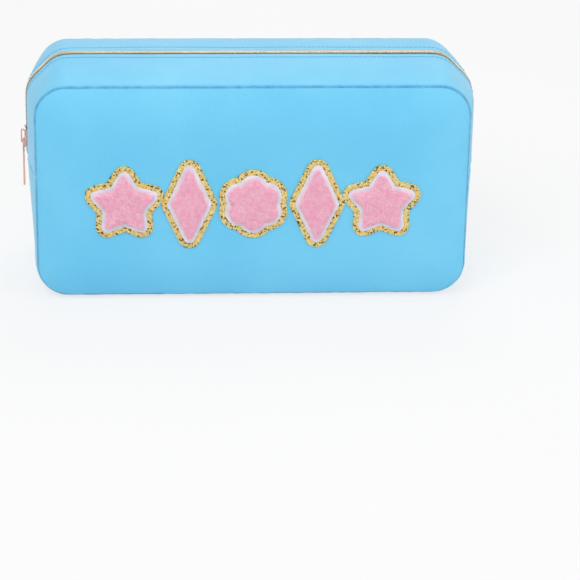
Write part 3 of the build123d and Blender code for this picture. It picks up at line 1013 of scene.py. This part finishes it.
# %% Coils
COIL_DOWN = 1.45 * MM
COIL_PITCH = 1.45 * MM
PART = 2.4 * MM
slider_low, slider_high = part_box("slider_body")
wedge_tip = slider_low.z + 5.5 * MM
lower_bend = [(2.7, 0.3), (-0.6, 0.3), (-1.15, 0.55), (-1.4, 1.05)]
upper_bend = [(-1.25, 1.6), (-0.7, 1.95), (1.5, 2.0), (2.7, 1.6)]
loop_path = [(0, y * MM, z * MM) for y, z in lower_bend + upper_bend]
coil_loop = rod("coil_loop", loop_path, 0.34 * MM, 0.26 * MM)


def along_line(points, start, end):
    """The stretch of a line between two lengths along it, and the whole length."""
    lengths = np.concatenate([[0], np.cumsum(np.linalg.norm(np.diff(points, axis=0), axis=1))])
    kept = points[(lengths > start) & (lengths < end)]
    cut = [[np.interp(at, lengths, points[:, axis]) for axis in range(3)] for at in (start, end)]
    return np.concatenate([cut[:1], kept, cut[1:]]), lengths[-1]


for side in (-1, 1):
    for half in (-1, 1):
        run = np.concatenate([steps(0, CORNER_X, MM), steps(CORNER_X, CROSS_SEAM, MM)[1:]])
        path = gusset_places(half_loop(half, run), np.array([0.0]), COIL_DOWN)[:, 0]
        if half < 0:
            below = np.clip((wedge_tip - path[:, 2]) / (4 * MM), 0, 1)
            path[:, 1] += side * PART * below
        whole = np.linalg.norm(np.diff(path, axis=0), axis=1).sum()
        count = round(whole / COIL_PITCH)
        pitch = whole / count
        first = 0.25 if side * half > 0 else 0.75
        line, _ = along_line(path, first * pitch, whole - (1 - first) * pitch)
        if side * half < 0:
            line = line[::-1]
        name = f"{SIDE_NAME[side]}_{HALF_NAME[half]}_coil_loops"
        values = {"Shape": coil_loop, "Count": count, "Across": (0, side, 0), "Finish": coil_finish}
        piece = grow(name, line_piece(name, line), along, values)
        nodes = (f"{SIDE_NAME[side]}_{HALF_NAME[half]}_coil", f"{SIDE_NAME[side]}_mouth_coil")
        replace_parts(mouth_blend(piece), *nodes)
        print(name, count, "loops, pitch", round(pitch / MM, 3), "mm", len(piece.data.polygons))

# %% [markdown]
# The topstitch lies in the dimples of the folded cloth. Its thread is dyed to match, so it shows as
# small glints rather than as a line.

# %% Topstitches
stitch_path = [(-1.05, -0.3), (-0.7, 0.08), (0, 0.18), (0.7, 0.08), (1.05, -0.3)]
stitch = rod("stitch", [(x * MM, 0, z * MM) for x, z in stitch_path], 0.24 * MM, 0.2 * MM)
for side in (-1, 1):
    rise = zip_cloth_rise(side, 11 + side)
    for half in (-1, 1):
        run = np.concatenate([steps(0, CORNER_X, MM), steps(CORNER_X, CROSS_SEAM - 2 * MM, MM)[1:]])
        row = np.array([side * (SLOT + STITCH_LINE)])
        path = gusset_places(half_loop(half, run), row, -0.12 * MM, rise)[:, 0]
        line, whole = along_line(path, STITCH_PITCH / 2, 10)
        if side * half < 0:
            line = line[::-1]
        name = f"{SIDE_NAME[side]}_{HALF_NAME[half]}_topstitch"
        count = round(whole / STITCH_PITCH)
        values = {"Shape": stitch, "Count": count, "Across": (0, side, 0), "Finish": thread_finish}
        piece = grow(name, line_piece(name, line), along, values)
        mouth_blend(piece)
for shape in (coil_loop, stitch):
    bpy.data.objects.remove(shape)

# %% [markdown]
# The slider, its bail and the pull are rigid and already have their shape, so their solids stay
# and only take their finish.

# %% Slider
for name in ("slider_body", "slider_bail", "pull_tab"):
    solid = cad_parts[name]
    solid.data.materials.clear()
    solid.data.materials.append(slider_finish)
print("slider", slider_low, slider_high)

# %% [markdown]
# A patch is built from layers that repeat one outline, each larger than the one above it. An
# outline is kept as its reach along spokes from its middle, so star, lozenge and flower are all
# made the same way. The layers lie on the panel's own unevenness, as sewn cloth does.


# %% Patch outlines
STAR_TIP = 20.2 * MM
STAR_NOTCH = 11.4 * MM
LOZENGE_WIDTH = 22.4 * MM
LOZENGE_HEIGHT = 49 * MM
PETAL = 6.7 * MM
PETAL_REACH = 9.6 * MM
PATCH_CORNER = 1.6 * MM
SPOKES = 300
spoke_turns = np.linspace(0, 2 * math.pi, SPOKES, endpoint=False)
spokes = np.stack([np.cos(spoke_turns), np.sin(spoke_turns)], -1)


def rounded(corners, radius):
    """A polygon's outline with each corner turned into a short curve."""
    corners = np.array(corners)
    outline = []
    for before, corner, after in zip(np.roll(corners, 1, 0), corners, np.roll(corners, -1, 0)):
        back = (before - corner) / np.linalg.norm(before - corner)
        ahead = (after - corner) / np.linalg.norm(after - corner)
        reach = radius / math.tan(math.acos(back @ ahead) / 2)
        for share in np.linspace(0, 1, 7):
            outline.append(corner + reach * ((1 - share) ** 2 * back + share**2 * ahead))
    return np.array(outline)


def star_outline():
    tips = math.pi / 2 + np.arange(10) * math.pi / 5
    reaches = np.where(np.arange(10) % 2, STAR_NOTCH, STAR_TIP)
    return rounded(reaches[:, None] * np.stack([np.cos(tips), np.sin(tips)], -1), PATCH_CORNER)


def lozenge_outline():
    right, top = LOZENGE_WIDTH / 2, LOZENGE_HEIGHT / 2
    return rounded([(right, 0), (0, top), (-right, 0), (0, -top)], PATCH_CORNER)


def flower_outline():
    from_petal = (spoke_turns - math.pi / 3) % (math.pi / 3) - math.pi / 6
    aside = PETAL_REACH * np.sin(from_petal)
    edge = PETAL_REACH * np.cos(from_petal) + np.sqrt(PETAL**2 - aside**2)
    return edge[:, None] * spokes


def outline_distance(places, outline):
    """Distance from each place to the nearest point of a closed outline."""
    start = outline[None]
    along_edge = np.roll(outline, -1, 0)[None] - start
    offset = places[:, None] - start
    share = (offset * along_edge).sum(-1) / (along_edge**2).sum(-1)
    return np.linalg.norm(offset - np.clip(share, 0, 1)[..., None] * along_edge, axis=-1).min(1)


def spoke_reach(outline, border):
    """Reach along each spoke of an outline that is moved outwards by a border."""
    shares = np.linspace(0, 1, 40, endpoint=False)[:, None, None]
    dense = ((1 - shares) * outline + shares * np.roll(outline, -1, 0)).reshape(-1, 2)
    turns = np.arctan2(dense[:, 1], dense[:, 0])
    base = np.interp(spoke_turns, turns, np.linalg.norm(dense, axis=1), period=2 * math.pi)
    low, high = base, base + 3.2 * border
    for _ in range(20):
        middle = (low + high) / 2
        beyond = outline_distance(middle[:, None] * spokes, outline) > border
        low, high = np.where(beyond, low, middle), np.where(beyond, middle, high)
    return low


def moved_in(reach, inset):
    """The same reach moved inwards by a small inset, measured square to the outline."""
    slope = (np.roll(reach, -1) - np.roll(reach, 1)) / (4 * math.pi / SPOKES) / reach
    return reach - inset * np.minimum(np.hypot(1, slope), 2.2)


# %% [markdown]
# Loose grains are scattered by a second node tree: glitter flakes on the foil, and loops of yarn on
# the pile. Each grain is turned at random about the surface, tilted a little and scaled a little.


# %% Scattered grains
def scatter_tree():
    sockets = {"Geometry": "Geometry", "Shape": "Object", "Spacing": "Float", "Tilt": "Float"}
    tree, graph, given = new_tree("scatter", {**sockets, "Seed": "Int", "Finish": "Material"})
    facing = graph.node("ShaderNodeSeparateXYZ", None, {0: graph.node("GeometryNodeInputNormal")})
    sockets = {
        "Mesh": given.of("Geometry"),
        "Selection": facing.of("Y").math("LESS_THAN", -0.25),
        "Distance Min": given.of("Spacing"),
        "Density Max": 9e6,
        "Seed": given.of("Seed"),
    }
    poisson = {"distribute_method": "POISSON"}
    points = graph.node("GeometryNodeDistributePointsOnFaces", poisson, sockets)
    tilt = given.of("Tilt")
    low = graph.node("ShaderNodeCombineXYZ", None, {0: tilt * -1, 1: tilt * -1, 2: -math.pi})
    high = graph.node("ShaderNodeCombineXYZ", None, {0: tilt, 1: tilt, 2: math.pi})
    random_turn = graph.node("FunctionNodeRandomValue", {"data_type": "FLOAT_VECTOR"}, {0: low, 1: high})
    sockets = {"Rotation": points.of("Rotation"), "Rotate By": random_turn}
    turn = graph.node("FunctionNodeRotateRotation", {"rotation_space": "LOCAL"}, sockets)
    size = graph.node("FunctionNodeRandomValue", {"data_type": "FLOAT"}, {2: 0.75, 3: 1.15})
    shape = graph.node("GeometryNodeObjectInfo", None, {"Object": given.of("Shape")}).of("Geometry")
    sockets = {"Points": points, "Instance": shape, "Rotation": turn, "Scale": size}
    finish_tree(graph, given, graph.node("GeometryNodeInstanceOnPoints", None, sockets))
    return tree


def hexagon_flake(radius, thickness):
    """A thin hexagonal plate."""
    turns = np.arange(6) * math.pi / 3
    ring = np.stack([radius * np.cos(turns), radius * np.sin(turns), 0 * turns], -1)
    points = np.concatenate([ring + (0, 0, thickness), ring])
    sides = [(corner, 6 + corner, 6 + (corner + 1) % 6, (corner + 1) % 6) for corner in range(6)]
    faces = [*sides, (0, 1, 2, 3, 4, 5), (11, 10, 9, 8, 7, 6)]
    return new_piece("flake", points, faces, glitter_finish)


scatter = scatter_tree()
flake = hexagon_flake(0.36 * MM, 0.05 * MM)
tuft_path = [(-0.5, -0.35), (-0.48, 0.2), (0, 0.5), (0.48, 0.2), (0.5, -0.35)]
tuft = rod("tuft", [(x * MM, 0, z * MM) for x, z in tuft_path], 0.3 * MM, 0.3 * MM, 5)

# %% [markdown]
# The foil and the felt are thin plates with a soft edge. The pile swells from its edge to a low
# dome with a lumpy top, and its loops hide it almost everywhere.

# %% Patches
PATCH_Z = 65 * MM
GLITTER_TOP = 0.8 * MM
FELT_TOP = 1.6 * MM
PILE_TOP = 3.7 * MM
FELT_BORDER = 2.5 * MM
FOIL_BORDER = 6.0 * MM


def patch_mesh(name, x, rings, material, closed=True):
    """Rings of (reach at each spoke, height above the panel), from the middle over the edge."""
    points = [reach[:, None] * spokes + (x, PATCH_Z - MIDDLE_Z) for reach, _ in rings]
    heights = [np.broadcast_to(height, SPOKES) for _, height in rings]
    faces = quads(len(rings), SPOKES, False, True)
    if closed:
        points.append(np.array([(x, PATCH_Z - MIDDLE_Z)] * 2))
        heights.append([np.mean(heights[0]), np.mean(heights[-1])])
        count = len(rings) * SPOKES
        last = count - SPOKES
        for spoke in range(SPOKES):
            after = (spoke + 1) % SPOKES
            faces += [(count, spoke, after), (count + 1, last + after, last + spoke)]
    flat = np.concatenate(points)
    inset = seam_inset(flat, HALF_LENGTH, HALF_HEIGHT, CORNER)
    lie = crown(inset) + panel_relief(flat, flat, inset, 50) + np.concatenate(heights)
    places = np.stack([flat[:, 0], -HALF_DEPTH - lie, flat[:, 1] + MIDDLE_Z], -1)
    piece = even_normals(new_piece(name, places, faces, material))
    return piece if closed else face_out(piece)


def plate(name, x, reach, low, high, softness, material):
    """A thin flat layer, its upper edge rounded."""
    shares = [(share * moved_in(reach, 2 * softness), high) for share in (0.3, 0.6, 0.85, 1.0)]
    turns = np.radians([20, 40, 60, 80])
    edge = [
        (moved_in(reach, softness * (1 - math.sin(turn))), high - softness * (1 - math.cos(turn)))
        for turn in turns
    ]
    under = [(reach, high - softness), (reach, low)]
    return settle(patch_mesh(name, x, shares + edge + under, material))


motifs = {
    "left_star": star_outline(),
    "left_lozenge": lozenge_outline(),
    "flower": flower_outline(),
    "right_lozenge": lozenge_outline(),
    "right_star": star_outline(),
}
for order, (motif, outline) in enumerate(motifs.items()):
    low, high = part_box(f"{motif}_pile")
    x = (low.x + high.x) / 2
    pile_reach = spoke_reach(outline, 0)
    felt_reach = spoke_reach(outline, FELT_BORDER)
    foil_reach = spoke_reach(outline, FOIL_BORDER)
    uneven = 0.12 * MM * waves(spokes, 0.12, 91 + order)
    foil = plate(f"{motif}_foil", x, foil_reach, -0.1 * MM, GLITTER_TOP, 0.2 * MM, glitter_finish)
    cloth = plate(
        f"{motif}_felt_layer", x, felt_reach + uneven, 0.6 * MM, FELT_TOP, 0.35 * MM, felt_finish
    )
    insets = (7.0, 5.0, 3.5, 2.6, 1.8, 1.2, 0.7, 0.3, 0.0)
    rings = [(share * moved_in(pile_reach, insets[0] * MM), PILE_TOP) for share in (0.25, 0.5, 0.75)]
    for inset in insets:
        rise = math.sqrt(1 - (1 - min(inset / 3.5, 1)) ** 2)
        lumps = 0.25 * MM * waves(spokes * (20 - inset), 3, 95 + order) * rise
        height = FELT_TOP + (PILE_TOP - FELT_TOP) * (0.25 + 0.75 * rise) + lumps
        rings.append((moved_in(pile_reach, inset * MM), height))
    rings.append((pile_reach, FELT_TOP - 0.2 * MM))
    pile = settle(patch_mesh(f"{motif}_pile_base", x, rings, chenille_finish))
    band = np.linspace(0, 1, 6)
    ring_band = [
        (felt_reach + 0.1 * MM + share * (foil_reach - felt_reach - 0.35 * MM), GLITTER_TOP)
        for share in band
    ]
    flakes = patch_mesh("band", x, ring_band, glitter_finish, closed=False)
    values = {"Shape": flake, "Spacing": 0.52 * MM, "Tilt": 0.28, "Seed": order}
    flakes = grow(f"{motif}_flakes", flakes, scatter, {**values, "Finish": glitter_finish})
    loops = pile.copy()
    loops.data = pile.data.copy()
    bpy.context.scene.collection.objects.link(loops)
    values = {"Shape": tuft, "Spacing": 0.8 * MM, "Tilt": 0.5, "Seed": 20 + order}
    loops = grow(f"{motif}_loops", loops, scatter, {**values, "Finish": chenille_finish})
    for piece, node, finish in (
        (foil, "glitter", "glitter"),
        (flakes, "glitter", "glitter"),
        (cloth, "felt", "felt"),
        (pile, "pile", "chenille"),
        (loops, "pile", "chenille"),
    ):
        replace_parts(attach(piece, "case"), f"{motif}_{node}")
    print(motif, "flakes", len(flakes.data.polygons) // 8, "loop faces", len(loops.data.polygons))
    for layer, reach in ((foil, foil_reach), (cloth, felt_reach)):
        cut = reach[:, None] * spokes
        width, length = np.ptp(cut, axis=0)
        area = (reach**2).sum() * math.pi / SPOKES
for shape in (flake, tuft):
    bpy.data.objects.remove(shape)

# %% [markdown]
# The shell is nylon on a thin padding. The linings and the tapes are plain sheets, and here
# the size that each lining was cut to is worked out.

# %% Soft pieces
half_names = [f"{side}_{half}" for side in ("front", "back") for half in ("left", "right")]
for name in half_names:
    lining_width = lining_seam - LINING_EDGE
    missing = CORNER_X * (lining_seam - HALF_DEPTH + LEDGE)
    cut = (CROSS_SEAM, lining_width)
    area = CROSS_SEAM * lining_width - missing
for side in ("front", "back"):
    width, length = 2 * (HALF_LENGTH - 1.6 * MM), 2 * (HALF_HEIGHT - 1.6 * MM)
    area = width * length - (4 - math.pi) * (CORNER - 1.6 * MM) ** 2

# %% [markdown]
# The stage is a white floor that turns into a white background. The lamps are broad, so the
# shadows are soft. What the camera and the gloss see of the floor is white, and the shadow
# stays faint, as in a product photograph.


# %% Stage and light
def white_where_seen(graph):
    """1 for rays that show the background: the camera's, and those off gloss and through glass."""
    rays = graph.node("ShaderNodeLightPath")
    seen = rays.math("MAXIMUM", rays.of("Is Glossy Ray"))
    return seen.math("MAXIMUM", rays.of("Is Transmission Ray"))


FLOOR_REACH = 6.0
signs = ((-1, -1), (1, -1), (1, 1), (-1, 1))
corners = [(x * FLOOR_REACH, y * FLOOR_REACH, 0) for x, y in signs]
floor_mesh = bpy.data.meshes.new("floor")
floor_mesh.from_pydata(corners, [], [(0, 1, 2, 3)])
floor = bpy.data.objects.new("floor", floor_mesh)
bpy.context.scene.collection.objects.link(floor)
paper = bpy.data.materials.new("paper")
paper.use_nodes = True
graph = Graph(paper.node_tree)
place = graph.node("ShaderNodeTexCoord").of("Object")
grain = graph.spread(graph.noise(place, 3, 2), 0.3, 0.7, 0.86, 0.9)
tone = graph.node("ShaderNodeCombineColor", None, {0: grain, 1: grain, 2: grain})
matt = graph.node("ShaderNodeBsdfDiffuse", None, {"Color": tone})
glow = graph.node("ShaderNodeEmission", None, {"Color": (1, 1, 1, 1), "Strength": 1.0})
seen = white_where_seen(graph) * 0.72
surface = graph.node("ShaderNodeMixShader", None, {0: seen, 1: matt, 2: glow})
graph.node("ShaderNodeOutputMaterial", None, {"Surface": surface})
floor_mesh.materials.append(paper)

world = bpy.data.worlds.new("studio")
bpy.context.scene.world = world
world.use_nodes = True
graph = Graph(world.node_tree)
strength = graph.spread(white_where_seen(graph), 0, 1, 0.54, 1.0)
sky = graph.node("ShaderNodeBackground", None, {"Color": (1, 1, 1, 1), "Strength": strength})
graph.node("ShaderNodeOutputWorld", None, {"Surface": sky})


def lamp(name, place, aim, size, power):
    """A broad square lamp at a place, turned to its aim."""
    light = bpy.data.lights.new(name, "AREA")
    light.shape = "SQUARE"
    light.size = size
    light.energy = power
    holder = bpy.data.objects.new(name, light)
    holder.location = place
    holder.rotation_euler = (Vector(aim) - Vector(place)).to_track_quat("-Z", "Y").to_euler()
    bpy.context.scene.collection.objects.link(holder)


case_middle = (0, 0, MIDDLE_Z)
lamp("key", (-0.5, -1.1, 1.4), case_middle, 0.9, 12)
lamp("fill", (1.3, -1.0, 0.7), case_middle, 1.0, 5)
lamp("back", (0.2, 1.0, 1.3), case_middle, 0.8, 5)

# %% [markdown]
# The camera stands a little left of the middle, about 1.6 m away, looks down on the front, and
# is turned very slightly.

# %% Camera
LENS_PIXELS = 2500
FRAME_PIXELS = 580
SENSOR = 36.0
AZIMUTH = math.radians(3.92)
ELEVATION = math.radians(22.77)
ROLL = math.radians(1.06)
CAMERA_PLACE = (-0.075, -1.4968, 0.6129)
camera_data = bpy.data.cameras.new("camera")
camera_data.sensor_width = SENSOR
camera_data.lens = LENS_PIXELS / FRAME_PIXELS * SENSOR
camera = bpy.data.objects.new("camera", camera_data)
bpy.context.scene.collection.objects.link(camera)
level = math.cos(ELEVATION)
forward = Vector((math.sin(AZIMUTH) * level, math.cos(AZIMUTH) * level, -math.sin(ELEVATION)))
right = Vector((math.cos(AZIMUTH), -math.sin(AZIMUTH), 0))
up = right.cross(forward)
turned_right = math.cos(ROLL) * right + math.sin(ROLL) * up
turned_up = math.cos(ROLL) * up - math.sin(ROLL) * right
camera.matrix_world = Matrix.Translation(CAMERA_PLACE) @ Matrix(
    (turned_right, turned_up, -forward)
).transposed().to_4x4()
bpy.context.scene.camera = camera
bpy.context.scene.view_settings.view_transform = "Standard"
